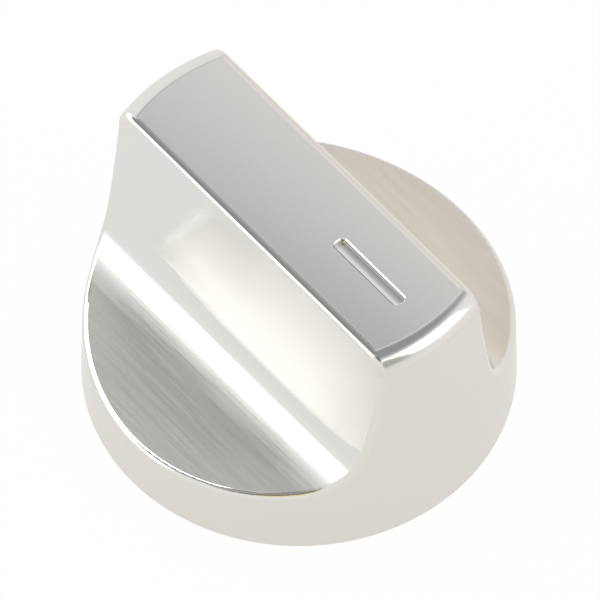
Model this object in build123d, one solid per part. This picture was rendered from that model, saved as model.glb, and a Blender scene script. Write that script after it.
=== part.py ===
from build123d import *
from math import asin, atan2, cos, hypot, pi, radians, sin, sqrt, tan
import os

os.makedirs("parts", exist_ok=True)

# Turned outside of the knob, mm and degrees
base_diameter = 48.0
knob_height = 31.95
wall_draft = 1.15
rim_height = 8.0

# Grip bar left standing between the two side scoops
grip_width = 13.9
grip_draft = 3.6
side_radius = 105.0
scoop_radius = 8.0
floor_slope = 12.9

# Rounded edges
end_rounding = 2.4
scoop_rounding = 0.75
base_bevel = 0.4

# Indicator groove sunk in the top of the grip
groove_length = 10.6
groove_width = 1.5
groove_depth = 0.8
groove_setback = 6.2
groove_corner = 0.45
groove_bevel = 0.12

# Cast shell
shell_thickness = 2.5
ledge_width = 0.7
seat_depth = 5.5

# Moulded hub that fills the open underside
hub_clearance = 0.1
flange_thickness = 2.0
well_diameter = 19.0
well_wall = 1.5
well_roof_rise = 2.5
stem_diameter = 11.2
stem_recess = 0.6
stem_slot_width = 1.2
stem_slot_margin = 0.5
floor_rib_count = 6
floor_rib_thickness = 1.2
floor_rib_height = 1.2
floor_rib_margin = 1.6
web_thickness = 2.2
pad_length = 4.0
pad_offset = 15.0
boss_cap = 2.4

# Socket for a six millimetre D shaft
shaft_diameter = 6.0
shaft_across_flat = 4.5
socket_clearance = 0.05
mouth_clearance = 0.3
mouth_length = 2.5
mouth_chamfer = 0.4
socket_length = 13.0

# Spring ring that closes the split stem on the shaft
ring_thickness = 0.7
ring_width = 3.0
ring_gap_angle = 50.0
ring_offset = 1.4

# Values worked out from the sizes above
base_radius = base_diameter / 2
taper = radians(wall_draft)
lean = radians(grip_draft)
slope = radians(floor_slope)
top_radius = base_radius - knob_height * tan(taper)
rim_radius = base_radius - rim_height * tan(taper)
half_grip = grip_width / 2
reach = base_radius * 1.2
seat_radius = base_radius - shell_thickness + ledge_width
stem_radius = stem_diameter / 2
well_radius = well_diameter / 2
shaft_radius = shaft_diameter / 2
flange_bottom = seat_depth - flange_thickness
rim_ceiling = rim_height - shell_thickness / cos(slope)
well_roof_top = rim_ceiling + well_roof_rise
well_roof_bottom = well_roof_top - well_wall
socket_bottom = stem_recess + mouth_length
socket_top = socket_bottom + socket_length
boss_top = socket_top + boss_cap
ring_bottom = stem_recess + ring_offset
ring_inner = stem_radius


def disc(radius, bottom, top):
    """Upright cylinder about the knob axis between two heights."""
    return Pos(0, 0, (bottom + top) / 2) * Cylinder(radius, top - bottom)


def block(size_x, size_y, bottom, top):
    """Upright box centred on the knob axis between two heights."""
    return Pos(0, 0, (bottom + top) / 2) * Box(size_x, size_y, top - bottom)


def grip_bar(inset):
    """Long bar with the cross-section of the grip, its scoops and the base below them."""
    side_x = half_grip + side_radius * cos(lean)
    side_z = knob_height + side_radius * sin(lean)
    shore_x = rim_radius + scoop_radius * sin(slope)
    shore_z = rim_height + scoop_radius * cos(slope)
    uphill = (side_x - shore_x) * cos(slope) - (side_z - shore_z) * sin(slope)
    spread = hypot(side_x - shore_x, side_z - shore_z)
    step = sqrt(uphill**2 - spread**2 + (side_radius - scoop_radius) ** 2) - uphill
    bend_x = shore_x - step * cos(slope)
    bend_z = shore_z + step * sin(slope)
    turn = atan2(side_z - bend_z, side_x - bend_x)
    radius = scoop_radius + inset
    hollow_radius = side_radius + inset
    top = knob_height - inset
    crest_turn = asin((side_z - top) / hollow_radius)
    floor_turn = pi / 2 - slope

    def on_side(angle):
        return (side_x - hollow_radius * cos(angle), side_z - hollow_radius * sin(angle))

    def on_bend(angle):
        return (bend_x - radius * cos(angle), bend_z - radius * sin(angle))

    def other(point):
        return (-point[0], point[1])

    crest = on_side(crest_turn)
    side_middle = on_side((crest_turn + turn) / 2)
    wall_end = on_side(turn)
    bend_middle = on_bend((turn + floor_turn) / 2)
    floor_end = on_bend(floor_turn)
    shore = (reach, floor_end[1] - (reach - floor_end[0]) * tan(slope))
    foot = (reach, 0)
    outline = [
        Line(other(foot), foot),
        Line(foot, shore),
        Line(shore, floor_end),
        ThreePointArc(floor_end, bend_middle, wall_end),
        ThreePointArc(wall_end, side_middle, crest),
        Line(crest, other(crest)),
        ThreePointArc(other(crest), other(side_middle), other(wall_end)),
        ThreePointArc(other(wall_end), other(bend_middle), other(floor_end)),
        Line(other(floor_end), other(shore)),
        Line(other(shore), other(foot)),
    ]
    return extrude(Plane.XZ * make_face(outline), amount=reach, both=True)


def turned_blank(inset):
    """Tapered round blank, its seam turned away from the indicator end."""
    height = knob_height - inset
    foot_radius = base_radius - inset / cos(taper)
    blank = Cone(foot_radius, foot_radius - height * tan(taper), height)
    return Rot(0, 0, -90) * (Pos(0, 0, height / 2) * blank)


def hollow(inset):
    """Space left inside the knob by walls of the given thickness."""
    return grip_bar(inset) & turned_blank(inset)


def is_scoop(face):
    """True for the hollow grip sides, the scoop bends and the scoop floors."""
    if face.geom_type == GeomType.CYLINDER:
        return True
    return face.geom_type == GeomType.PLANE and abs(face.normal_at().X) > sin(slope) / 2


def scoop_edges(solid):
    """Edges that bound the two scoops, each scoop being one smooth closed loop."""
    seen = {}
    for face in solid.faces():
        if is_scoop(face):
            for edge in face.edges():
                spot = tuple(round(value, 3) for value in edge.center())
                seen.setdefault(spot, []).append(edge)
    return [edges[0] for edges in seen.values() if len(edges) == 1]


# Outside of the shell
blank = turned_blank(0)
blank = fillet(blank.edges().filter_by(GeomType.CIRCLE).sort_by(Axis.Z)[-1:], end_rounding)
body = grip_bar(0) & blank
body = fillet(scoop_edges(body), scoop_rounding)
body = chamfer(body.edges().filter_by(GeomType.CIRCLE).sort_by(Axis.Z)[:1], base_bevel)

# Indicator groove
groove_centre = top_radius - groove_setback - groove_length / 2
groove_floor = knob_height - groove_depth
groove_plan = RectangleRounded(groove_width, groove_length, groove_corner)
groove = Pos(0, groove_centre, groove_floor) * extrude(groove_plan, amount=groove_depth)
body = body - groove
groove_box = groove.bounding_box()


def on_groove_mouth(edge):
    """True for the edges where the groove breaks the top face."""
    box = edge.bounding_box()
    level = box.min.Z > knob_height - groove_depth / 2
    across = max(abs(box.min.X), abs(box.max.X)) < groove_width
    along = box.min.Y > groove_box.min.Y - groove_width and box.max.Y < groove_box.max.Y + groove_width
    return level and across and along


body = chamfer([edge for edge in body.edges() if on_groove_mouth(edge)], groove_bevel)

# Hollow inside of the shell, with a ledge that stops the hub
body = body - hollow(shell_thickness) - disc(seat_radius, 0, seat_depth)

# Hub: flange, collar and floor ribs
flange_radius = seat_radius - hub_clearance
flange = disc(flange_radius, flange_bottom, seat_depth)
rib_bottom = flange_bottom - floor_rib_height
rib_reach = flange_radius - floor_rib_margin
rib_start = well_radius + well_wall / 2
floor_rib = Pos((rib_start + rib_reach) / 2, 0, (rib_bottom + flange_bottom) / 2) * Box(
    rib_reach - rib_start, floor_rib_thickness, floor_rib_height
)
rib_turn = 360 / floor_rib_count
floor_ribs = [Rot(0, 0, rib_turn * index) * floor_rib for index in range(floor_rib_count)]
well_collar = disc(well_radius + well_wall, rib_bottom, flange_bottom)

# Hub: well around the stem, block over the socket and keys inside the grip
well = disc(well_radius + well_wall, flange_bottom, well_roof_top)
socket_block = block(grip_width, stem_diameter, seat_depth, boss_top)
web = block(web_thickness, 2 * pad_offset + pad_length, seat_depth, boss_top)
pad = block(grip_width, pad_length, seat_depth, boss_top)
pads = Pos(0, pad_offset, 0) * pad + Pos(0, -pad_offset, 0) * pad
core = (well + socket_block + web + pads) & hollow(shell_thickness + hub_clearance)
hub = flange + well_collar + floor_ribs + core
hub = hub - disc(well_radius, 0, well_roof_bottom)
stem = disc(stem_radius, stem_recess, well_roof_bottom)
hub = hub + stem

# Hub: socket and split
mouth_radius = shaft_radius + mouth_clearance
socket_radius = shaft_radius + socket_clearance
mouth = disc(mouth_radius, stem_recess, socket_bottom)
lead_in = Pos(0, 0, stem_recess + mouth_chamfer / 2) * Cone(mouth_radius + mouth_chamfer, mouth_radius, mouth_chamfer)
flat_offset = shaft_across_flat - shaft_radius + socket_clearance
round_socket = disc(socket_radius, socket_bottom, socket_top)
beyond_flat = Pos(0, flat_offset + reach / 2, 0) * block(reach, reach, socket_bottom, socket_top)
socket = round_socket - beyond_flat
split = block(2 * reach, stem_slot_width, stem_recess, well_roof_bottom - stem_slot_margin)
split = split & disc(well_radius - well_wall / 2, stem_recess, well_roof_bottom)
hub = hub - mouth - lead_in - socket - split

# Spring ring
ring_outer = ring_inner + ring_thickness
ring = disc(ring_outer, ring_bottom, ring_bottom + ring_width)
ring = ring - disc(ring_inner, ring_bottom, ring_bottom + ring_width)
half_gap = radians(ring_gap_angle / 2)
gap_reach = 2 * ring_outer
gap_plan = Polygon(
    (0, 0),
    (gap_reach * sin(half_gap), gap_reach * cos(half_gap)),
    (-gap_reach * sin(half_gap), gap_reach * cos(half_gap)),
    align=None,
)
ring = ring - Pos(0, 0, ring_bottom) * extrude(gap_plan, amount=ring_width)

for name, piece in {"knob_body": body, "hub_insert": hub, "spring_ring": ring}.items():
    solids = piece.solids()
    print(name, len(solids), "solid", round(sum(solid.volume for solid in solids), 1), "mm3")
    solid = solids[0]
    solid.label = name
    export_step(solid, os.path.join("parts", name + ".step"))
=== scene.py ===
"""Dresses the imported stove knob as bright-plated, part-brushed zinc in a white studio.

The knob is one plated casting over a black moulded hub, which carries a spring ring on its split
stem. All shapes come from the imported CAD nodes. This file gives them their finishes and sets the
floor, the lamps, the world and the camera.
"""
import logging
import math
from dataclasses import dataclass
from enum import Enum
from typing import Mapping, Optional, Sequence, Union

import bpy
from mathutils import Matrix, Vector


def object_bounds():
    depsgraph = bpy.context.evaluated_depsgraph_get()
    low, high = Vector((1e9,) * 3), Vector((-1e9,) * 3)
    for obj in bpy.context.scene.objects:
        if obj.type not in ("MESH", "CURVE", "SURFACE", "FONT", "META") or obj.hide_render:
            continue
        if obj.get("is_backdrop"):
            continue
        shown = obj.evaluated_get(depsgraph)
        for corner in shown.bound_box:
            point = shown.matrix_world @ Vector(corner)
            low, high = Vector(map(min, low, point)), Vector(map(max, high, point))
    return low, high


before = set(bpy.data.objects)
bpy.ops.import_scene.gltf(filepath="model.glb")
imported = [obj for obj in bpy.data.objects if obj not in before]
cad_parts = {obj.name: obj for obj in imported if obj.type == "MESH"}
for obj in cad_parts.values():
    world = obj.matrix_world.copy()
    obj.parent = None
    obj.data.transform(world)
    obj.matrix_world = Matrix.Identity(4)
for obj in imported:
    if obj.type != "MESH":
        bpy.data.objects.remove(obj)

LOG = logging.getLogger("stove_knob")
MM = 0.001
PER_METRE = 1000.0

# Largest value of a colour byte, and the numbers that set the sRGB curve.
BYTE_MAX = 255
SRGB_KNEE = 0.04045
SRGB_SLOPE = 12.92
SRGB_OFFSET = 0.055
SRGB_POWER = 2.4

# Bound of a window that is open on that side.
NO_LIMIT = 1000.0
# Middle of the random grain, which varies from zero to one.
GRAIN_MIDDLE = 0.5
GRIP_AXIS = (0.0, 1.0, 0.0)
KNOB_AXIS = (0.0, 0.0, 1.0)
LEVEL_PART = (1.0, 1.0, 0.0)
# Leaves a direction on faces that look straight along the grip.
TANGENT_NUDGE = (0.0, 0.0, 0.001)

Socket = bpy.types.NodeSocket
Tree = bpy.types.NodeTree
Value = Union[Socket, float, Sequence[float]]


class CadNode(Enum):
    """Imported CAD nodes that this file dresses."""

    BODY = "knob_body"
    HUB = "hub_insert"
    RING = "spring_ring"


def linear(hex_colour: str) -> tuple[float, float, float, float]:
    """Turns an sRGB hex colour into linear light.

    Args:
        hex_colour: Six hex digits, with or without a leading hash.

    Returns:
        Linear red, green, blue and an alpha of one.
    """
    parts = [byte / BYTE_MAX for byte in bytes.fromhex(hex_colour.lstrip("#"))]
    light = [
        part / SRGB_SLOPE if part <= SRGB_KNEE else ((part + SRGB_OFFSET) / (1 + SRGB_OFFSET)) ** SRGB_POWER
        for part in parts
    ]
    return (light[0], light[1], light[2], 1.0)


def add_node(
    tree: Tree,
    kind: str,
    settings: Optional[Mapping[str, object]] = None,
    inputs: Optional[Mapping[Union[int, str], Value]] = None,
) -> bpy.types.Node:
    """Adds one node, sets its options and fills or links its inputs.

    Args:
        tree: Node tree that takes the node.
        kind: Blender's name for the node type.
        settings: Options of the node by attribute name.
        inputs: Input sockets by name or number, each with a constant or a socket to link from.

    Returns:
        The new node.
    """
    node = tree.nodes.new(kind)
    for name, value in (settings or {}).items():
        setattr(node, name, value)
    for key, value in (inputs or {}).items():
        if isinstance(value, Socket):
            tree.links.new(value, node.inputs[key])
        else:
            node.inputs[key].default_value = value
    return node


def joint_mask(tree: Tree, masks: Sequence[Value]) -> Socket:
    """Multiplies masks, so that only what lies in all of them stays.

    Args:
        tree: Node tree that takes the nodes.
        masks: Sockets with values from zero to one, the first always a socket, or plain factors.

    Returns:
        Socket with the product.
    """
    product = masks[0]
    for mask in masks[1:]:
        product = add_node(
            tree, "ShaderNodeMath", {"operation": "MULTIPLY"}, {0: product, 1: mask}
        ).outputs[0]
    return product


def lay_zones(tree: Tree, base: Value, zones: Sequence[tuple[Socket, Value]]) -> Socket:
    """Lays the numbers of zones over a base number, each over those before it.

    Args:
        tree: Node tree that takes the nodes.
        base: Number outside all zones.
        zones: Mask and number of each zone, at least one.

    Returns:
        Socket with the number at a point.
    """
    number = base
    for mask, inside in zones:
        mixed = add_node(
            tree,
            "ShaderNodeMix",
            {"data_type": "FLOAT"},
            {"Factor": mask, "A": number, "B": inside},
        )
        number = mixed.outputs["Result"]
    return number


def lay_colours(tree: Tree, base: Value, zones: Sequence[tuple[Socket, str]]) -> Socket:
    """Lays the colours of zones over a base colour, each over those before it.

    Args:
        tree: Node tree that takes the nodes.
        base: Linear colour outside all zones.
        zones: Mask and sRGB hex colour of each zone, at least one.

    Returns:
        Socket with the colour at a point.
    """
    colour = base
    for mask, inside in zones:
        mixed = add_node(
            tree,
            "ShaderNodeMix",
            {"data_type": "RGBA"},
            {"Factor": mask, "A": colour, "B": linear(inside)},
        )
        colour = mixed.outputs["Result"]
    return colour


def tip_normal(tree: Tree, normal: Socket, tips: Sequence[tuple[Value, Socket]]) -> Socket:
    """Tips a normal towards directions, one after another.

    Args:
        tree: Node tree that takes the nodes.
        normal: Socket with the normal.
        tips: Directions, each with a socket that says how much of it to add.

    Returns:
        Socket with the tipped normal, not of unit length.
    """
    for towards, amount in tips:
        normal = add_node(
            tree, "ShaderNodeVectorMath", {"operation": "MULTIPLY_ADD"}, {0: towards, 1: amount, 2: normal}
        ).outputs[0]
    return normal


@dataclass(frozen=True)
class Window:
    """Range of a measured value that belongs to a zone, with soft edges.

    Attributes:
        low: Middle of the edge where the zone starts.
        high: Middle of the edge where it ends.
        soft: Half the width of each edge.
    """

    low: float
    high: float
    soft: float

    def mask(self, tree: Tree, value: Socket) -> Socket:
        """Builds a mask that is one inside the range and zero outside it.

        Args:
            tree: Node tree that takes the nodes.
            value: Socket with the measured value.

        Returns:
            Socket with the mask.
        """
        edges = []
        for middle, before, after in ((self.low, 0.0, 1.0), (self.high, 1.0, 0.0)):
            edge = add_node(
                tree,
                "ShaderNodeMapRange",
                {"interpolation_type": "SMOOTHSTEP", "clamp": True},
                {
                    "Value": value,
                    "From Min": middle - self.soft,
                    "From Max": middle + self.soft,
                    "To Min": before,
                    "To Max": after,
                },
            )
            edges.append(edge.outputs[0])
        return joint_mask(tree, edges)


@dataclass
class Surface:
    """Sockets that say where a point of the knob is and which way it faces.

    Attributes:
        position: Place in millimetres in the knob's own frame.
        across: Distance from the plane along the grip.
        side: Unit vector across the grip, away from its middle plane.
        y: Place along the grip.
        z: Height above the panel side.
        radius: Distance from the knob's axis.
        normal: Direction that the surface faces.
        normal_y: Its part along the grip.
        normal_z: Its part along the axis.
    """

    position: Socket
    across: Socket
    side: Socket
    y: Socket
    z: Socket
    radius: Socket
    normal: Socket
    normal_y: Socket
    normal_z: Socket

    @classmethod
    def measure(cls, tree: Tree) -> "Surface":
        """Reads place and direction in the knob's own frame.

        Args:
            tree: Node tree that takes the nodes.

        Returns:
            The measured sockets.
        """
        coordinates = add_node(tree, "ShaderNodeTexCoord")
        millimetres = add_node(
            tree,
            "ShaderNodeVectorMath",
            {"operation": "SCALE"},
            {0: coordinates.outputs["Object"], "Scale": PER_METRE},
        )
        place = add_node(tree, "ShaderNodeSeparateXYZ", None, {0: millimetres.outputs[0]})
        flat = add_node(
            tree,
            "ShaderNodeVectorMath",
            {"operation": "MULTIPLY"},
            {0: millimetres.outputs[0], 1: LEVEL_PART},
        )
        radius = add_node(tree, "ShaderNodeVectorMath", {"operation": "LENGTH"}, {0: flat.outputs[0]})
        facing = add_node(tree, "ShaderNodeSeparateXYZ", None, {0: coordinates.outputs["Normal"]})
        across = add_node(tree, "ShaderNodeMath", {"operation": "ABSOLUTE"}, {0: place.outputs["X"]})
        sign = add_node(tree, "ShaderNodeMath", {"operation": "SIGN"}, {0: place.outputs["X"]})
        side = add_node(tree, "ShaderNodeCombineXYZ", None, {"X": sign.outputs[0]})
        return cls(
            position=millimetres.outputs[0],
            across=across.outputs[0],
            side=side.outputs[0],
            y=place.outputs["Y"],
            z=place.outputs["Z"],
            radius=radius.outputs["Value"],
            normal=coordinates.outputs["Normal"],
            normal_y=facing.outputs["Y"],
            normal_z=facing.outputs["Z"],
        )


def streaks(tree: Tree, surface: Surface, lengths_mm: Sequence[float], detail: float) -> Socket:
    """Draws a random grain that can be longer one way than another.

    Args:
        tree: Node tree that takes the nodes.
        surface: Measured sockets.
        lengths_mm: Size of the grain along the three axes.
        detail: How many finer layers the grain has.

    Returns:
        Socket that varies from zero to one.
    """
    stretched = add_node(
        tree,
        "ShaderNodeVectorMath",
        {"operation": "DIVIDE"},
        {0: surface.position, 1: tuple(lengths_mm)},
    )
    noise = add_node(
        tree, "ShaderNodeTexNoise", None, {"Vector": stretched.outputs[0], "Scale": 1.0, "Detail": detail}
    )
    return noise.outputs[0]


def new_material(name: str) -> tuple[bpy.types.Material, Tree, bpy.types.Node]:
    """Makes an empty node material with an output.

    Args:
        name: Name of the material.

    Returns:
        The material, its node tree and its output node.
    """
    material = bpy.data.materials.new(name)
    material.use_nodes = True
    tree = material.node_tree
    tree.nodes.clear()
    output = add_node(tree, "ShaderNodeOutputMaterial")
    return material, tree, output


@dataclass(frozen=True)
class PlatedZinc:
    """Die-cast zinc, part brushed with fine belts, then bright nickel plated.

    The plating keeps a warm grey tone. Rounded edges stay close to a mirror. The grip sides are
    polished more softly. Scoops, top and outer wall carry the fine lines of the belt, which smear
    reflections across the lines.
    """

    colour: str = "#E0DEDA"
    # Painted light: the scoops get a slightly warmer tone that stands in for warm light bounced into them.
    scoop_painted_bounce_colour: str = "#E0DCD4"
    # Painted reflection: the outer wall gets a warmer tone that stands in for the shaded, warm board it
    # reflects near its foot.
    wall_painted_reflection_colour: str = "#E1DDD6"
    polished_roughness: float = 0.07
    end_roughness: float = 0.30
    top_roughness: float = 0.27
    roll_roughness: float = 0.14
    side_roughness: float = 0.13
    scoop_roughness: float = 0.34
    brim_roughness: float = 0.41
    wall_roughness: float = 0.24
    cast_roughness: float = 0.42
    anisotropy: float = 0.75
    # Real belt lines are some hundredths of a millimetre apart. These are coarser, so that they show.
    line_spacing_mm: float = 0.17
    line_length_mm: float = 9.0
    line_depth_mm: float = 0.007
    line_detail: float = 2.0
    line_tone: float = 0.3
    turned_spacing_mm: float = 0.12
    turned_length_mm: float = 14.0
    turned_tone: float = 0.12
    # Slopes that belt and polish leave, as the share of a direction that is added to the normal.
    crown_across: float = 0.08
    crown_along: float = 0.02
    groove_hollow: float = 0.25
    side_tilt: float = 0.043
    far_tilt: float = 0.045
    end_crease: float = -0.12
    rim_crease: float = 0.5
    # Where the roll of a long edge starts, in from the edge of the flat, and how tightly it bends.
    roll_setback_mm: float = 0.35
    roll_radius_mm: float = 1.87

    def material(self, shell: "KnobShell") -> bpy.types.Material:
        """Builds the material.

        Args:
            shell: The casting that wears it, whose sizes bound the zones.

        Returns:
            The finished material.
        """
        material, tree, output = new_material("brushed_nickel_plated_zinc")
        surface = Surface.measure(tree)
        scoop = shell.scoop_mask(tree, surface)
        wall = shell.wall_mask(tree, surface)
        belt_size = (self.line_spacing_mm, self.line_length_mm, self.line_spacing_mm)
        belt = streaks(tree, surface, belt_size, self.line_detail)
        turned_size = (self.turned_length_mm, self.turned_length_mm, self.turned_spacing_mm)
        turned = streaks(tree, surface, turned_size, self.line_detail)
        roughness = self.roughness(tree, surface, shell)
        roughness = self.uneven(tree, belt, scoop, self.line_tone, roughness)
        roughness = self.uneven(tree, turned, wall, self.turned_tone, roughness)
        lined = add_node(
            tree,
            "ShaderNodeBump",
            None,
            {
                "Strength": 1.0,
                "Distance": self.line_depth_mm * MM,
                "Height": joint_mask(tree, [belt, scoop]),
                "Normal": self.worn_normal(tree, surface, shell),
            },
        )
        # Painted light: the warmer tones on the scoops and the outer wall stand in for light bounced and
        # reflected onto them.
        painted_light_tones = [(scoop, self.scoop_painted_bounce_colour), (shell.outer_mask(tree, surface), self.wall_painted_reflection_colour)]
        shader = add_node(
            tree,
            "ShaderNodeBsdfPrincipled",
            None,
            {
                "Base Color": lay_colours(tree, linear(self.colour), painted_light_tones),
                "Metallic": 1.0,
                "Roughness": roughness,
                "Anisotropic": self.anisotropy,
                "Tangent": self.brush_tangent(tree, surface, shell),
                "Normal": lined.outputs[0],
            },
        )
        tree.links.new(shader.outputs[0], output.inputs[0])
        return material

    def roughness(self, tree: Tree, surface: Surface, shell: "KnobShell") -> Socket:
        """Gives each zone of the casting the roughness its finishing left.

        Args:
            tree: Node tree that takes the nodes.
            surface: Measured sockets.
            shell: The casting, for its zones.

        Returns:
            Socket with the roughness.
        """
        brim = shell.brim_mask(tree, surface)
        brushed = lay_zones(tree, self.scoop_roughness, [(brim, self.brim_roughness)])
        start = shell.half_flat - self.roll_setback_mm
        zones = [
            (shell.end_mask(tree, surface), self.end_roughness),
            (shell.top_mask(tree, surface), self.top_roughness),
            (shell.long_edge_mask(tree, surface, start), self.roll_roughness),
            (shell.side_mask(tree, surface), self.side_roughness),
            (shell.scoop_mask(tree, surface), brushed),
            (shell.wall_mask(tree, surface), self.wall_roughness),
            (shell.inside_mask(tree, surface), self.cast_roughness),
        ]
        return lay_zones(tree, self.polished_roughness, zones)

    def uneven(self, tree: Tree, lines: Socket, zone: Socket, tone: float, roughness: Socket) -> Socket:
        """Makes some belt lines duller than others.

        Args:
            tree: Node tree that takes the nodes.
            lines: Socket with the lines.
            zone: Mask of the brushed zone.
            tone: Difference in roughness between the dullest and the brightest line.
            roughness: Socket with the roughness so far.

        Returns:
            Socket with the uneven roughness.
        """
        swing = add_node(tree, "ShaderNodeMath", {"operation": "SUBTRACT"}, {0: lines, 1: GRAIN_MIDDLE})
        masked = joint_mask(tree, [swing.outputs[0], zone])
        changed = add_node(
            tree, "ShaderNodeMath", {"operation": "MULTIPLY_ADD"}, {0: masked, 1: tone, 2: roughness}
        )
        return changed.outputs[0]

    def brush_tangent(self, tree: Tree, surface: Surface, shell: "KnobShell") -> Socket:
        """Points across the brush lines, which run along the grip and round the wall and ends.

        Args:
            tree: Node tree that takes the nodes.
            surface: Measured sockets.
            shell: The casting, for its zones.

        Returns:
            Socket with the direction.
        """
        grip_line = add_node(
            tree,
            "ShaderNodeVectorMath",
            {"operation": "CROSS_PRODUCT"},
            {0: GRIP_AXIS, 1: surface.normal},
        )
        kept = add_node(
            tree, "ShaderNodeVectorMath", {"operation": "ADD"}, {0: grip_line.outputs[0], 1: TANGENT_NUDGE}
        )
        turned = add_node(
            tree,
            "ShaderNodeMath",
            {"operation": "MAXIMUM"},
            {0: shell.wall_mask(tree, surface), 1: shell.end_mask(tree, surface)},
        )
        tangent = add_node(
            tree,
            "ShaderNodeMix",
            {"data_type": "VECTOR"},
            {
                "Factor": turned.outputs[0],
                "A": kept.outputs[0],
                "B": KNOB_AXIS,
            },
        )
        return tangent.outputs["Result"]

    def worn_normal(self, tree: Tree, surface: Surface, shell: "KnobShell") -> Socket:
        """Turns the casting's normals into those of the belted and polished surface.

        The slack belt leaves the top a little crowned and the upper grip sides a little steeper,
        most on the far half, and it rolls the long edges over. The groove is hollow across. A fine
        lip stays beside the flat top at its ends, and a fine bevel beside the rims of the scoops.

        Args:
            tree: Node tree that takes the nodes.
            surface: Measured sockets.
            shell: The casting, for its sizes and zones.

        Returns:
            Socket with the normal.
        """
        crown = (self.crown_across / shell.half_grip, self.crown_along / shell.half_length, 0.0)
        hollow = (-self.groove_hollow / shell.half_groove, 0.0, 0.0)
        product = {"operation": "MULTIPLY"}
        crowned, hollowed = (
            add_node(tree, "ShaderNodeVectorMath", product, {0: surface.position, 1: slope})
            for slope in (crown, hollow)
        )
        level = add_node(tree, "ShaderNodeVectorMath", product, {0: surface.normal, 1: LEVEL_PART})
        outward = add_node(tree, "ShaderNodeVectorMath", {"operation": "NORMALIZE"}, {0: level.outputs[0]})
        upper = shell.upper_side_mask(tree, surface)
        far = joint_mask(tree, [upper, shell.far_half.mask(tree, surface.y)])
        end = joint_mask(tree, [shell.end_brink_mask(tree, surface), self.end_crease])
        rim = joint_mask(tree, [shell.rim_brink_mask(tree, surface), self.rim_crease])
        tips = [
            (crowned.outputs[0], shell.top_mask(tree, surface)),
            (hollowed.outputs[0], shell.groove_mask(tree, surface)),
            ((0.0, 0.0, -self.side_tilt), upper),
            ((0.0, 0.0, -self.far_tilt), far),
            (outward.outputs[0], end),
            (surface.side, rim),
        ]
        tipped = tip_normal(tree, surface.normal, tips)
        unit = add_node(tree, "ShaderNodeVectorMath", {"operation": "NORMALIZE"}, {0: tipped})
        start = shell.half_flat - self.roll_setback_mm
        worn = add_node(
            tree,
            "ShaderNodeMix",
            {"data_type": "VECTOR"},
            {
                "Factor": shell.long_edge_mask(tree, surface, start),
                "A": unit.outputs[0],
                "B": self.rolled_edge(tree, surface, start),
            },
        )
        return worn.outputs["Result"]

    def rolled_edge(self, tree: Tree, surface: Surface, start: float) -> Socket:
        """Gives the normals of a long top edge that the belt began to roll over.

        Args:
            tree: Node tree that takes the nodes.
            surface: Measured sockets.
            start: Distance from the middle plane where the roll starts.

        Returns:
            Socket with the normal.
        """
        lean = add_node(
            tree,
            "ShaderNodeMapRange",
            {"clamp": True},
            {
                "Value": surface.across,
                "From Min": start,
                "From Max": start + self.roll_radius_mm,
                "To Min": 0.0,
                "To Max": 1.0,
            },
        ).outputs[0]
        square = add_node(tree, "ShaderNodeMath", {"operation": "MULTIPLY"}, {0: lean, 1: lean})
        rest = add_node(tree, "ShaderNodeMath", {"operation": "SUBTRACT"}, {0: 1.0, 1: square.outputs[0]})
        rise = add_node(tree, "ShaderNodeMath", {"operation": "SQRT"}, {0: rest.outputs[0]})
        upright = add_node(tree, "ShaderNodeCombineXYZ", None, {"Z": rise.outputs[0]})
        return tip_normal(tree, upright.outputs[0], [(surface.side, lean)])


@dataclass(frozen=True)
class GlassFilledNylon:
    """Black glass-filled nylon from a spark-eroded mould: dull, slightly grainy, grey in the light."""

    colour: str = "#262628"
    fleck_colour: str = "#343436"
    roughness: float = 0.5
    roughness_swing: float = 0.2
    # The grain of a spark-eroded mould is finer. This is coarser, so that it shows.
    grain_mm: float = 0.25
    grain_depth_mm: float = 0.02
    grain_strength: float = 0.25
    grain_detail: float = 3.0
    flow_mm: float = 4.0

    def material(self) -> bpy.types.Material:
        """Builds the material.

        Returns:
            The finished material.
        """
        material, tree, output = new_material("moulded_glass_filled_nylon")
        surface = Surface.measure(tree)
        grain = streaks(tree, surface, (self.grain_mm,) * 3, self.grain_detail)
        flow = streaks(tree, surface, (self.flow_mm,) * 3, self.grain_detail)
        dullness = add_node(
            tree,
            "ShaderNodeMath",
            {"operation": "MULTIPLY_ADD"},
            {0: flow, 1: self.roughness_swing, 2: self.roughness - self.roughness_swing / 2},
        )
        bump = add_node(
            tree,
            "ShaderNodeBump",
            None,
            {"Strength": self.grain_strength, "Distance": self.grain_depth_mm * MM, "Height": grain},
        )
        shader = add_node(
            tree,
            "ShaderNodeBsdfPrincipled",
            None,
            {
                "Base Color": lay_colours(tree, linear(self.colour), [(flow, self.fleck_colour)]),
                "Roughness": dullness.outputs[0],
                "Normal": bump.outputs[0],
            },
        )
        tree.links.new(shader.outputs[0], output.inputs[0])
        return material


@dataclass(frozen=True)
class SpringSteel:
    """Rolled spring steel strip: grey, with fine lines round the ring that soften its shine."""

    colour: str = "#B4B4B6"
    roughness: float = 0.28
    roughness_swing: float = 0.16
    # Rolling leaves finer lines. These are coarser, so that they show.
    line_spacing_mm: float = 0.1
    line_length_mm: float = 6.0
    line_detail: float = 2.0

    def material(self) -> bpy.types.Material:
        """Builds the material.

        Returns:
            The finished material.
        """
        material, tree, output = new_material("rolled_spring_steel")
        surface = Surface.measure(tree)
        line_size = (self.line_length_mm, self.line_length_mm, self.line_spacing_mm)
        lines = streaks(tree, surface, line_size, self.line_detail)
        dullness = add_node(
            tree,
            "ShaderNodeMath",
            {"operation": "MULTIPLY_ADD"},
            {0: lines, 1: self.roughness_swing, 2: self.roughness - self.roughness_swing / 2},
        )
        shader = add_node(
            tree,
            "ShaderNodeBsdfPrincipled",
            None,
            {"Base Color": linear(self.colour), "Metallic": 1.0, "Roughness": dullness.outputs[0]},
        )
        tree.links.new(shader.outputs[0], output.inputs[0])
        return material


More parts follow.
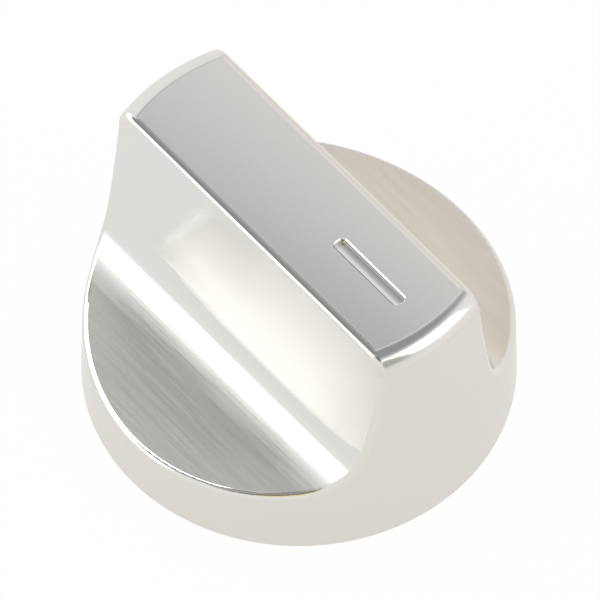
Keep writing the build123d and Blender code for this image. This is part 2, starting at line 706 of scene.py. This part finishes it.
@dataclass
class KnobShell:
    """Plated casting with the bar grip, whose sizes bound the zones of its finish.

    Lengths are in millimetres. A facing is a range of the normal's part along the knob's axis.

    Attributes:
        height: Height of the flat top.
        node: CAD node of the casting.
        half_grip: Half the width of the grip.
        half_flat: Half the width of the flat top.
        half_length: Half the length of the grip.
        end_rounding: Radius of the rounded ends of the grip.
        rim_radius: Distance from the axis where the scoops end and the outer wall begins.
        brim: Distances from the axis that count as the outer part of a scoop floor.
        brink_level: Heights between which the bevel beside a scoop rim runs.
        brink_start: Distance from the middle plane where that bevel starts.
        brink_taper: How soon that bevel runs out towards the end with the groove.
        seat_radius: Radius of the seat that the hub closes.
        seat_depth: Depth of that seat.
        half_groove: Half the width of the indicator groove.
        groove_depth: Depth of that groove.
        upper_side: Heights that count as the upper part of the grip sides.
        far_half: Places along the grip that count as its far half.
        along_grip: Range of the normal's part along the grip, for faces that run along it.
        soft: Half the width of a usual soft edge of a zone.
        fine_soft: The same for a finer edge.
        crisp_soft: The same for the finest edge.
        margin: Room left before the rounded ends and under the top.
        edge_margin: Room left inside the rims and at the ends of the long edges.
    """

    height: float
    node: CadNode = CadNode.BODY
    half_grip: float = 6.95
    half_flat: float = 6.25
    half_length: float = 23.4
    end_rounding: float = 2.4
    rim_radius: float = 23.25
    brim: Window = Window(20.0, NO_LIMIT, 3.0)
    brink_level: Window = Window(7.0, 15.0, 0.1)
    brink_start: float = 16.4
    brink_taper: float = 0.5
    seat_radius: float = 22.3
    seat_depth: float = 5.6
    half_groove: float = 0.75
    groove_depth: float = 0.8
    upper_side: Window = Window(18.0, 30.0, 3.0)
    far_half: Window = Window(-NO_LIMIT, -3.0, 4.0)
    along_grip: Window = Window(-0.03, 0.03, 0.02)
    level_facing: Window = Window(0.992, NO_LIMIT, 0.006)
    roll_facing: Window = Window(0.966, NO_LIMIT, 0.006)
    side_facing: Window = Window(0.05, 0.21, 0.02)
    scoop_facing: Window = Window(0.70, NO_LIMIT, 0.245)
    outer_facing: Window = Window(-0.3, 0.55, 0.15)
    wall_facing: Window = Window(-0.1, 0.04, 0.015)
    end_facing: Window = Window(-NO_LIMIT, 0.55, 0.3)
    end_brink_facing: Window = Window(0.9962, 0.9994, 0.0003)
    rim_brink_facing: Window = Window(0.85, 0.968, 0.006)
    rim_brink_lean: Window = Window(0.88, NO_LIMIT, 0.01)
    soft: float = 0.1
    fine_soft: float = 0.05
    crisp_soft: float = 0.01
    margin: float = 0.3
    edge_margin: float = 0.2

    def top_mask(self, tree: Tree, surface: Surface) -> Socket:
        """Marks the flat top of the grip.

        Args:
            tree: Node tree that takes the nodes.
            surface: Measured sockets.

        Returns:
            Socket with the mask.
        """
        level = self.level_facing.mask(tree, surface.normal_z)
        high = Window(self.height - self.soft, NO_LIMIT, self.fine_soft).mask(tree, surface.z)
        return joint_mask(tree, [level, high])

    def groove_mask(self, tree: Tree, surface: Surface) -> Socket:
        """Marks the floor of the indicator groove.

        Args:
            tree: Node tree that takes the nodes.
            surface: Measured sockets.

        Returns:
            Socket with the mask.
        """
        level = self.level_facing.mask(tree, surface.normal_z)
        floor = self.height - self.groove_depth
        deep = Window(floor - self.soft, floor + self.soft, self.fine_soft).mask(tree, surface.z)
        return joint_mask(tree, [level, deep])

    def side_mask(self, tree: Tree, surface: Surface) -> Socket:
        """Marks the leaning sides of the grip.

        Args:
            tree: Node tree that takes the nodes.
            surface: Measured sockets.

        Returns:
            Socket with the mask.
        """
        facing = self.side_facing.mask(tree, surface.normal_z)
        straight = self.along_grip.mask(tree, surface.normal_y)
        return joint_mask(tree, [facing, straight])

    def upper_side_mask(self, tree: Tree, surface: Surface) -> Socket:
        """Marks the upper part of the grip sides, which starts softly."""
        part = self.upper_side.mask(tree, surface.z)
        return joint_mask(tree, [self.side_mask(tree, surface), part])

    def scoop_mask(self, tree: Tree, surface: Surface) -> Socket:
        """Marks the floors of the finger scoops, and their bends more and more faintly.

        Args:
            tree: Node tree that takes the nodes.
            surface: Measured sockets.

        Returns:
            Socket with the mask.
        """
        facing = self.scoop_facing.mask(tree, surface.normal_z)
        straight = self.along_grip.mask(tree, surface.normal_y)
        below = Window(-NO_LIMIT, self.height - self.end_rounding, self.soft).mask(tree, surface.z)
        within = Window(-NO_LIMIT, self.rim_radius, self.fine_soft).mask(tree, surface.radius)
        return joint_mask(tree, [facing, straight, below, within])

    def brim_mask(self, tree: Tree, surface: Surface) -> Socket:
        """Marks the outer part of the scoop floors, which starts softly."""
        return self.brim.mask(tree, surface.radius)

    def beyond_rim_mask(self, tree: Tree, surface: Surface) -> Socket:
        """Marks what lies further from the axis than the scoops."""
        return Window(self.rim_radius, NO_LIMIT, self.soft).mask(tree, surface.radius)

    def outer_mask(self, tree: Tree, surface: Surface) -> Socket:
        """Marks the outer wall and the lower part of the roundings that end it.

        Args:
            tree: Node tree that takes the nodes.
            surface: Measured sockets.

        Returns:
            Socket with the mask.
        """
        reach = add_node(
            tree,
            "ShaderNodeMath",
            {"operation": "MAXIMUM"},
            {0: self.beyond_rim_mask(tree, surface), 1: self.end_mask(tree, surface)},
        )
        return joint_mask(tree, [self.outer_facing.mask(tree, surface.normal_z), reach.outputs[0]])

    def wall_mask(self, tree: Tree, surface: Surface) -> Socket:
        """Marks the turned outer wall."""
        facing = self.wall_facing.mask(tree, surface.normal_z)
        return joint_mask(tree, [facing, self.beyond_rim_mask(tree, surface)])

    def end_zone(self, tree: Tree, surface: Surface, facing: Window) -> Socket:
        """Marks what faces a given way on the rounded ends of the grip.

        Args:
            tree: Node tree that takes the nodes.
            surface: Measured sockets.
            facing: Range of the normal's part along the knob's axis.

        Returns:
            Socket with the mask.
        """
        high = Window(self.height - self.end_rounding, NO_LIMIT, self.soft).mask(tree, surface.z)
        start = self.half_length - self.end_rounding - self.margin
        outside = Window(start, NO_LIMIT, self.soft).mask(tree, surface.radius)
        return joint_mask(tree, [high, facing.mask(tree, surface.normal_z), outside])

    def end_mask(self, tree: Tree, surface: Surface) -> Socket:
        """Marks the rounded ends of the grip, above the outer wall."""
        return self.end_zone(tree, surface, self.end_facing)

    def end_brink_mask(self, tree: Tree, surface: Surface) -> Socket:
        """Marks where the rounded ends begin, beside the flat top."""
        return self.end_zone(tree, surface, self.end_brink_facing)

    def rim_brink_mask(self, tree: Tree, surface: Surface) -> Socket:
        """Marks where the rounded rims of the scoops begin, beside the scoop floors.

        Args:
            tree: Node tree that takes the nodes.
            surface: Measured sockets.

        Returns:
            Socket with the mask.
        """
        low = self.brink_level.mask(tree, surface.z)
        turned = self.rim_brink_facing.mask(tree, surface.normal_z)
        lean = add_node(
            tree,
            "ShaderNodeMath",
            {"operation": "MULTIPLY_ADD"},
            {0: surface.normal_y, 1: -self.brink_taper, 2: surface.normal_z},
        )
        along = self.rim_brink_lean.mask(tree, lean.outputs[0])
        clear = Window(self.brink_start, NO_LIMIT, self.soft).mask(tree, surface.across)
        outside = Window(self.rim_radius - self.edge_margin, NO_LIMIT, self.soft).mask(tree, surface.radius)
        return joint_mask(tree, [low, turned, along, clear, outside])

    def long_edge_mask(self, tree: Tree, surface: Surface, start: float) -> Socket:
        """Marks the long edges of the top, from a given distance off the middle plane.

        Args:
            tree: Node tree that takes the nodes.
            surface: Measured sockets.
            start: Distance from the middle plane where the edge starts.

        Returns:
            Socket with the mask.
        """
        edge = Window(start, NO_LIMIT, self.crisp_soft).mask(tree, surface.across)
        facing = self.roll_facing.mask(tree, surface.normal_z)
        high = Window(self.height - self.margin, NO_LIMIT, self.soft).mask(tree, surface.z)
        end = self.half_length - self.end_rounding - self.edge_margin
        within = Window(-NO_LIMIT, end, self.edge_margin).mask(tree, surface.radius)
        return joint_mask(tree, [edge, facing, high, within])

    def inside_mask(self, tree: Tree, surface: Surface) -> Socket:
        """Marks the seat and ledge that the hub closes.

        Args:
            tree: Node tree that takes the nodes.
            surface: Measured sockets.

        Returns:
            Socket with the mask.
        """
        low = Window(-NO_LIMIT, self.seat_depth, self.soft).mask(tree, surface.z)
        within = Window(-NO_LIMIT, self.seat_radius, self.soft).mask(tree, surface.radius)
        return joint_mask(tree, [low, within])

    def dress(self, nodes: Mapping[str, bpy.types.Object]) -> bpy.types.Object:
        """Gives the casting its finish.

        Args:
            nodes: CAD nodes by name.

        Returns:
            The dressed node.
        """
        shell = nodes[self.node.value]
        shell.data.materials.clear()
        shell.data.materials.append(PlatedZinc().material(self))
        return shell


@dataclass
class HubInsert:
    """Black moulding that carries the shaft socket and fills the open underside."""

    node: CadNode = CadNode.HUB

    def dress(self, nodes: Mapping[str, bpy.types.Object]) -> bpy.types.Object:
        """Gives the moulding its finish.

        Args:
            nodes: CAD nodes by name.

        Returns:
            The dressed node.
        """
        hub = nodes[self.node.value]
        hub.data.materials.clear()
        hub.data.materials.append(GlassFilledNylon().material())
        return hub


@dataclass
class SpringRing:
    """Open ring that squeezes the split stem onto the shaft."""

    node: CadNode = CadNode.RING

    def dress(self, nodes: Mapping[str, bpy.types.Object]) -> bpy.types.Object:
        """Gives the ring its finish.

        Args:
            nodes: CAD nodes by name.

        Returns:
            The dressed node.
        """
        ring = nodes[self.node.value]
        ring.data.materials.clear()
        ring.data.materials.append(SpringSteel().material())
        return ring


@dataclass(frozen=True)
class WhiteSweep:
    """Matt white painted board: almost plain white to the camera, with a faint shadow.

    Reflections show it white with some of its shading. From below it is clear.

    Attributes:
        colour: Colour of the board as sRGB hex.
        camera_share: Share of plain white in what the camera sees.
        mirror_share: Share of plain white in what reflections show.
    """

    colour: str = "#FFFFFF"
    camera_share: float = 0.975
    mirror_share: float = 0.75

    def material(self) -> bpy.types.Material:
        """Builds the material.

        Returns:
            The finished material.
        """
        material, tree, output = new_material("matt_white_board")
        path = add_node(tree, "ShaderNodeLightPath")
        shares = [
            (path.outputs["Is Glossy Ray"], self.mirror_share),
            (path.outputs["Is Camera Ray"], self.camera_share),
        ]
        board = add_node(tree, "ShaderNodeBsdfDiffuse", None, {"Color": linear(self.colour)})
        white = add_node(tree, "ShaderNodeEmission", None, {"Color": linear(self.colour), "Strength": 1.0})
        front = add_node(
            tree,
            "ShaderNodeMixShader",
            None,
            {0: lay_zones(tree, 0.0, shares), 1: board.outputs[0], 2: white.outputs[0]},
        )
        side = add_node(tree, "ShaderNodeNewGeometry")
        clear = add_node(tree, "ShaderNodeBsdfTransparent")
        both = add_node(
            tree,
            "ShaderNodeMixShader",
            None,
            {0: side.outputs["Backfacing"], 1: front.outputs[0], 2: clear.outputs[0]},
        )
        tree.links.new(both.outputs[0], output.inputs[0])
        return material


@dataclass(frozen=True)
class Softbox:
    """Rectangular lamp aimed at the knob.

    Attributes:
        name: Name of the lamp.
        towards: Direction from the knob to the lamp.
        distance: Distance from the knob in metres.
        width: Width of the lamp in metres.
        height: Height of the lamp in metres.
        brightness: Brightness of its face, where one is white.
        colour: Colour of its light as sRGB hex.
    """

    name: str
    towards: tuple[float, float, float]
    distance: float
    width: float
    height: float
    brightness: float
    colour: str

    def place(self, target: Vector) -> bpy.types.Object:
        """Adds the lamp to the scene.

        Args:
            target: Point that the lamp faces.

        Returns:
            The lamp object.
        """
        data = bpy.data.lights.new(self.name, "AREA")
        data.shape = "RECTANGLE"
        data.size = self.width
        data.size_y = self.height
        data.energy = self.brightness * math.pi * self.width * self.height
        data.color = linear(self.colour)[:3]
        lamp = bpy.data.objects.new(self.name, data)
        bpy.context.scene.collection.objects.link(lamp)
        direction = Vector(self.towards).normalized()
        lamp.location = target + direction * self.distance
        lamp.rotation_mode = "QUATERNION"
        lamp.rotation_quaternion = (-direction).to_track_quat("-Z", "Y")
        lamp.visible_camera = False
        return lamp


@dataclass(frozen=True)
class RoomPatch:
    """Round part of the room with a colour of its own.

    Attributes:
        towards: Direction from the knob to its middle.
        half_angle: Angle from its middle to its edge, in degrees.
        soft_angle: Half the width of its soft edge, in degrees.
        colour: Its colour as sRGB hex.
    """

    towards: tuple[float, float, float]
    half_angle: float
    soft_angle: float
    colour: str

    def paint(self, tree: Tree, direction: Socket, room: Value) -> Socket:
        """Lays the patch over the room.

        Args:
            tree: Node tree of the world.
            direction: Socket with the direction looked along.
            room: Colour of the room so far.

        Returns:
            Socket with the colour of the room and the patch.
        """
        middle = Vector(self.towards).normalized()
        across = add_node(
            tree, "ShaderNodeVectorMath", {"operation": "DOT_PRODUCT"}, {0: direction, 1: tuple(middle)}
        )
        angle = add_node(tree, "ShaderNodeMath", {"operation": "ARCCOSINE"}, {0: across.outputs["Value"]})
        edge = add_node(
            tree,
            "ShaderNodeMapRange",
            {"interpolation_type": "SMOOTHSTEP", "clamp": True},
            {
                "Value": angle.outputs[0],
                "From Min": math.radians(self.half_angle - self.soft_angle),
                "From Max": math.radians(self.half_angle + self.soft_angle),
                "To Min": 1.0,
                "To Max": 0.0,
            },
        )
        return lay_colours(tree, room, [(edge.outputs[0], self.colour)])


@dataclass
class Studio:
    """White board, softboxes, world and camera.

    Attributes:
        floor_half_size: Half the width of the board in metres.
        floor_gap_mm: Gap between the base rim and the board.
        target_height: Height of the point that the lamps face, in metres.
        lamps: The softboxes.
        walls: Colour of the room as sRGB hex.
        patches: Parts of the room with colours of their own, each laid over those before it.
        azimuth: Turn of the camera round the knob's axis, in degrees.
        elevation: Angle of the camera above the board, in degrees.
        camera_distance: Distance of the camera from its aim, in metres.
        field_mm: Width of the picture at the aim.
        sensor_mm: Width of the camera's sensor.
        aim_right_mm: Distance of the aim to the right of the base's middle, in the picture.
        aim_up_mm: Distance of the aim above the base's middle, in the picture.
    """

    floor_half_size: float = 3.0
    floor_gap_mm: float = 0.05
    target_height: float = 0.014
    lamps: tuple[Softbox, ...] = (
        Softbox(
            name="side_softbox",
            towards=(0.794, -0.516, 0.321),
            distance=0.7,
            width=0.48,
            height=0.28,
            brightness=2.6,
            colour="#EEF4FF",
        ),
        Softbox(
            name="back_softbox",
            towards=(0.259, -0.903, 0.342),
            distance=0.7,
            width=0.57,
            height=0.40,
            brightness=1.3,
            colour="#FFFFFF",
        ),
        Softbox(
            name="front_softbox",
            towards=(-0.355, 0.744, 0.566),
            distance=0.7,
            width=0.346,
            height=0.468,
            brightness=1.4,
            colour="#F4F8FF",
        ),
    )
    walls: str = "#FFFFFF"
    patches: tuple[RoomPatch, ...] = (
        # Warm white for the far scoop, and cool white for the far side of the top.
        RoomPatch((-0.75, -0.40, 0.45), 24.0, 14.0, "#FAF1E7"),
        RoomPatch((-0.42, -0.44, 0.79), 13.0, 6.0, "#FAFCFF"),
        # Pale yellow for a line along the near rim, and grey for the near end of the grip.
        RoomPatch((0.64, 0.40, 0.60), 12.0, 4.0, "#FFEFB8"),
        RoomPatch((0.03, 0.90, 0.43), 17.0, 6.0, "#BCBEB6"),
        # Dull greys overhead for the flat top, and beside that for the near scoop.
        RoomPatch((-0.035, -0.02, 1.0), 30.0, 10.0, "#A3A6AA"),
        RoomPatch((0.368, -0.426, 0.826), 20.0, 8.0, "#9C9C9E"),
        # Dark greys on the camera's side for the near rim.
        RoomPatch((0.62, 0.14, 0.77), 13.0, 5.0, "#8E8A80"),
        RoomPatch((0.40, 0.38, 0.83), 15.0, 3.0, "#8E8A80"),
    )
    azimuth: float = 139.7
    elevation: float = 55.95
    camera_distance: float = 2.75
    field_mm: float = 66.06
    sensor_mm: float = 36.0
    aim_right_mm: float = 0.11
    aim_up_mm: float = 7.31

    def lay_floor(self) -> bpy.types.Object:
        """Lays the white board under the knob.

        Returns:
            The floor object.
        """
        half = self.floor_half_size
        # The gap keeps the board out of the plane of the base rim, where the two faces would flicker.
        level = -self.floor_gap_mm * MM
        corners = [(-half, -half, level), (half, -half, level), (half, half, level), (-half, half, level)]
        mesh = bpy.data.meshes.new("white_board")
        mesh.from_pydata(corners, [], [tuple(range(len(corners)))])
        floor = bpy.data.objects.new("white_board", mesh)
        bpy.context.scene.collection.objects.link(floor)
        mesh.materials.append(WhiteSweep().material())
        floor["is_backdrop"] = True
        return floor

    def hang_lamps(self) -> list[bpy.types.Object]:
        """Hangs the softboxes."""
        target = Vector((0.0, 0.0, self.target_height))
        return [lamp.place(target) for lamp in self.lamps]

    def wrap_world(self) -> bpy.types.World:
        """Sets the room: a white tent with round parts of other colours.

        Returns:
            The world.
        """
        world = bpy.data.worlds.new("white_room")
        world.use_nodes = True
        tree = world.node_tree
        tree.nodes.clear()
        coordinates = add_node(tree, "ShaderNodeTexCoord")
        room: Value = linear(self.walls)
        for patch in self.patches:
            room = patch.paint(tree, coordinates.outputs["Generated"], room)
        background = add_node(tree, "ShaderNodeBackground", None, {"Color": room, "Strength": 1.0})
        output = add_node(tree, "ShaderNodeOutputWorld")
        tree.links.new(background.outputs[0], output.inputs[0])
        bpy.context.scene.world = world
        return world

    def set_camera(self) -> bpy.types.Object:
        """Sets the camera at the photograph's viewing angle.

        Returns:
            The camera object.
        """
        turn = math.radians(self.azimuth)
        tilt = math.radians(self.elevation)
        back = Vector((math.sin(turn) * math.cos(tilt), -math.cos(turn) * math.cos(tilt), math.sin(tilt)))
        right = Vector((math.cos(turn), math.sin(turn), 0.0))
        up = back.cross(right)
        data = bpy.data.cameras.new("photo_camera")
        data.sensor_width = self.sensor_mm
        data.lens = self.sensor_mm * self.camera_distance * PER_METRE / self.field_mm
        camera = bpy.data.objects.new("photo_camera", data)
        bpy.context.scene.collection.objects.link(camera)
        aim = right * (self.aim_right_mm * MM) + up * (self.aim_up_mm * MM)
        camera.location = aim + back * self.camera_distance
        camera.rotation_mode = "QUATERNION"
        camera.rotation_quaternion = (-back).to_track_quat("-Z", "Y")
        bpy.context.scene.camera = camera
        return camera

    def build(self) -> None:
        """Builds the whole studio."""
        self.lay_floor()
        self.hang_lamps()
        self.wrap_world()
        self.set_camera()
        bpy.context.scene.view_settings.view_transform = "Standard"


def main() -> None:
    """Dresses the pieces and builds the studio."""
    logging.basicConfig(level=logging.INFO)
    cad_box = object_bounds()
    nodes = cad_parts
    height = Vector(cad_box[1]).z * PER_METRE
    for assembly in (KnobShell(height), HubInsert(), SpringRing()):
        piece = assembly.dress(nodes)
        LOG.info("dressed %s", piece.name)
    Studio().build()


if __name__ == "__main__":
    main()
